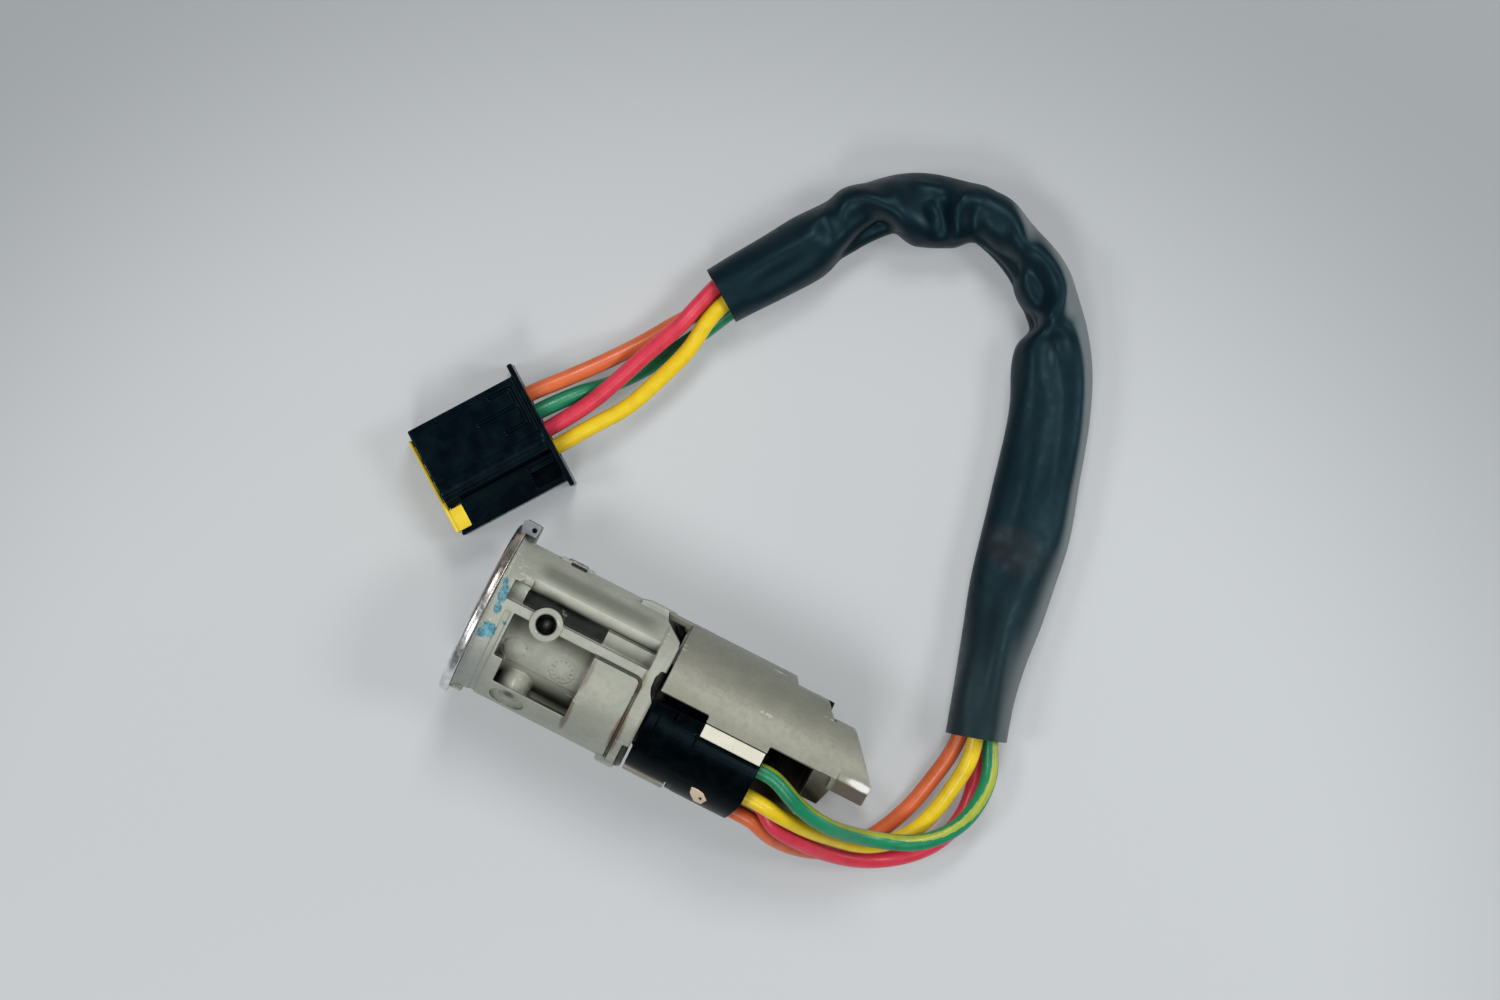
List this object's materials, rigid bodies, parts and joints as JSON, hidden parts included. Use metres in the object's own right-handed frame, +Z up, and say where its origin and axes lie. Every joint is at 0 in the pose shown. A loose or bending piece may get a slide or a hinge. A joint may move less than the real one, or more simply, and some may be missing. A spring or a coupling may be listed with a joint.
{
  "type": "ignition switch",
  "caption": "Steering-lock ignition switch: cast key-cylinder housing with a polished face ring, rear contact module, sleeved wires and a plug connector.",
  "frame": {"origin": "on the resting surface, under the middle of the lock's own length and width, the harness left out", "axes": "+X along the key axis from the face ring to the rear tip, +Y to the side of the retaining button, +Z up"},
  "size_m": [0.1653, 0.1675, 0.0441],
  "materials": {
    "zinc_front": "matt die-cast zinc alloy, darkened with age",
    "zinc_rear": "die-cast zinc alloy, slightly shiny",
    "polished_ring": "polished, lightly spotted",
    "steel": "plain steel",
    "brass": "plain brass",
    "black_plastic": "moulded black, satin",
    "cream_plastic": "moulded cream",
    "yellow_plastic": "moulded yellow",
    "sleeve_black": "soft black tubing, semi-gloss",
    "wire_orange": "wire insulation",
    "wire_red": "wire insulation",
    "wire_yellow": "wire insulation",
    "wire_green": "wire insulation with a lighter stripe"
  },
  "bodies": {
    "root": {"lock_housing": "zinc_front", "face_ring": "polished_ring", "dial_plate": "black_plastic", "cylinder_sleeve": "brass", "return_spring": "steel", "cylinder_pin": "steel", "button_spring": "steel", "rear_housing": "zinc_rear", "switch_body": "black_plastic", "contact_carrier": "cream_plastic", "connector_housing": "black_plastic", "cable_sleeve": "sleeve_black", "connector_terminal_1": "brass", "connector_terminal_2": "brass", "connector_terminal_3": "brass", "connector_terminal_4": "brass", "contact_green": "brass", "wire_green": "wire_green", "contact_yellow": "brass", "wire_yellow": "wire_yellow", "contact_orange": "brass", "wire_orange": "wire_orange", "contact_red": "brass", "wire_red": "wire_red"},
    "plug": {"key_plug": "brass", "plug_cap": "steel", "plug_clip": "steel", "tail_shaft": "steel", "contact_rotor": "cream_plastic", "contact_bridge": "brass"},
    "shutter": {"key_shutter": "steel"},
    "bolt": {"steering_bolt": "steel"},
    "button": {"retaining_button": "steel"},
    "secondary_lock": {"connector_lock": "yellow_plastic"},
    "wafer_body_1": {"wafer_1": "brass"},
    "wafer_body_2": {"wafer_2": "brass"},
    "wafer_body_3": {"wafer_3": "brass"},
    "wafer_body_4": {"wafer_4": "brass"},
    "wafer_body_5": {"wafer_5": "brass"}
  },
  "joints": [
    {"name": "plug_turn", "type": "hinge", "parent": "root", "child": "plug", "pos_m": [-0.05125, -0.0007, 0.0221], "axis": [1, 0, 0], "range_deg": [0, 100]},
    {"name": "shutter_swing", "type": "hinge", "parent": "plug", "child": "shutter", "pos_m": [-0.04905, -0.0007, 0.0275], "axis": [0, -1, 0], "range_deg": [0, 80], "stiffness_Nm_per_rad": 0.0002},
    {"name": "bolt_slide", "type": "slide", "parent": "root", "child": "bolt", "axis": [0, 0.6157, -0.788], "range_m": [-0.00585, 0]},
    {"name": "button_press", "type": "slide", "parent": "root", "child": "button", "axis": [0, -1, 0], "range_m": [0, 0.0009], "stiffness_N_per_m": 200, "deforming": ["button_spring"]},
    {"name": "secondary_lock_slide", "type": "slide", "parent": "root", "child": "secondary_lock", "axis": [-0.5736, -0.8192, 0], "range_m": [0, 0.0015]},
    {"name": "wafer_1_slide", "type": "slide", "parent": "plug", "child": "wafer_body_1", "axis": [0, 0, 1], "range_m": [-0.0008, 0], "stiffness_N_per_m": 20, "springref_m": -0.0008},
    {"name": "wafer_2_slide", "type": "slide", "parent": "plug", "child": "wafer_body_2", "axis": [0, 0, 1], "range_m": [-0.0008, 0], "stiffness_N_per_m": 20, "springref_m": -0.0008},
    {"name": "wafer_3_slide", "type": "slide", "parent": "plug", "child": "wafer_body_3", "axis": [0, 0, 1], "range_m": [-0.0008, 0], "stiffness_N_per_m": 20, "springref_m": -0.0008},
    {"name": "wafer_4_slide", "type": "slide", "parent": "plug", "child": "wafer_body_4", "axis": [0, 0, 1], "range_m": [-0.0008, 0], "stiffness_N_per_m": 20, "springref_m": -0.0008},
    {"name": "wafer_5_slide", "type": "slide", "parent": "plug", "child": "wafer_body_5", "axis": [0, 0, 1], "range_m": [-0.0008, 0], "stiffness_N_per_m": 20, "springref_m": -0.0008}
  ],
  "couplings": [
    {"joint": "bolt_slide", "follows": "plug_turn", "m_per_rad": -0.0033357}
  ]
}
